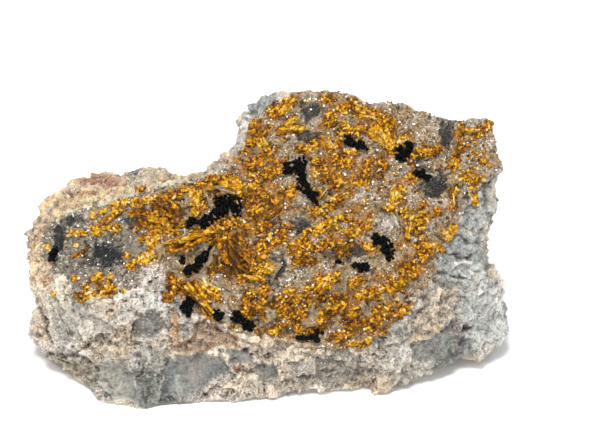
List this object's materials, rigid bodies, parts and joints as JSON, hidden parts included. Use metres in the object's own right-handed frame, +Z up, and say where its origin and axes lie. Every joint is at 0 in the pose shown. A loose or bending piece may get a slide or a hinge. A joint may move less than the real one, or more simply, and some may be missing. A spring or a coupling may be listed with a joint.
{
  "type": "uranophane crystal specimen",
  "caption": "Broken hand specimen of pale silicified rock with a leaning face of drusy quartz that carries sprays of orange uranophane needles and clusters of black oxide.",
  "frame": {"origin": "under the middle of the specimen's bounding box, in the plane of its flat base", "axes": "+Z up as it rests, +X along its longest side to the viewer's right, the crystal face leans back towards +Y and is seen from -Y"},
  "size_m": [0.0876, 0.0424, 0.0438],
  "materials": {
    "matrix_rock": "broken, granular, matt, with glassy grey patches",
    "quartz": "sugary drusy quartz, translucent grey-mauve, with bright sparkles",
    "uranophane": "silky to vitreous fibrous needles, amber to orange-yellow",
    "black_oxide": "black granular, dull to slightly glossy"
  },
  "bodies": {
    "root": {"black_oxide_blocky_lower": "black_oxide", "black_oxide_blocky_upper": "black_oxide", "black_oxide_deep_centre": "black_oxide", "black_oxide_foot": "black_oxide", "black_oxide_hook": "black_oxide", "black_oxide_hook_tail": "black_oxide", "black_oxide_large": "black_oxide", "black_oxide_left_band": "black_oxide", "black_oxide_left_of_large": "black_oxide", "black_oxide_lobe_corner": "black_oxide", "black_oxide_low_dot": "black_oxide", "black_oxide_low_left": "black_oxide", "black_oxide_right_patch": "black_oxide", "black_oxide_rim_left": "black_oxide", "black_oxide_top_right": "black_oxide", "matrix_rock": "matrix_rock", "quartz_crust": "quartz", "uranophane_centre_fan": "uranophane", "uranophane_centre_right": "uranophane", "uranophane_corner_needles": "uranophane", "uranophane_edge_needles": "uranophane", "uranophane_far_right": "uranophane", "uranophane_honey_lump": "uranophane", "uranophane_ledge_edge": "uranophane", "uranophane_left_clump": "uranophane", "uranophane_left_fan": "uranophane", "uranophane_left_speck": "uranophane", "uranophane_long_blade": "uranophane", "uranophane_low_blade": "uranophane", "uranophane_low_centre": "uranophane", "uranophane_low_middle": "uranophane", "uranophane_low_right": "uranophane", "uranophane_peak_left": "uranophane", "uranophane_peak_middle": "uranophane", "uranophane_peak_ridge": "uranophane", "uranophane_peak_shoulder": "uranophane", "uranophane_ridge_right": "uranophane", "uranophane_right_clump": "uranophane", "uranophane_right_edge": "uranophane", "uranophane_right_foot": "uranophane", "uranophane_right_middle": "uranophane", "uranophane_right_of_hook": "uranophane", "uranophane_saddle": "uranophane", "uranophane_thin_blade": "uranophane", "uranophane_upper_middle": "uranophane", "uranophane_upper_right": "uranophane"}
  },
  "joints": []
}
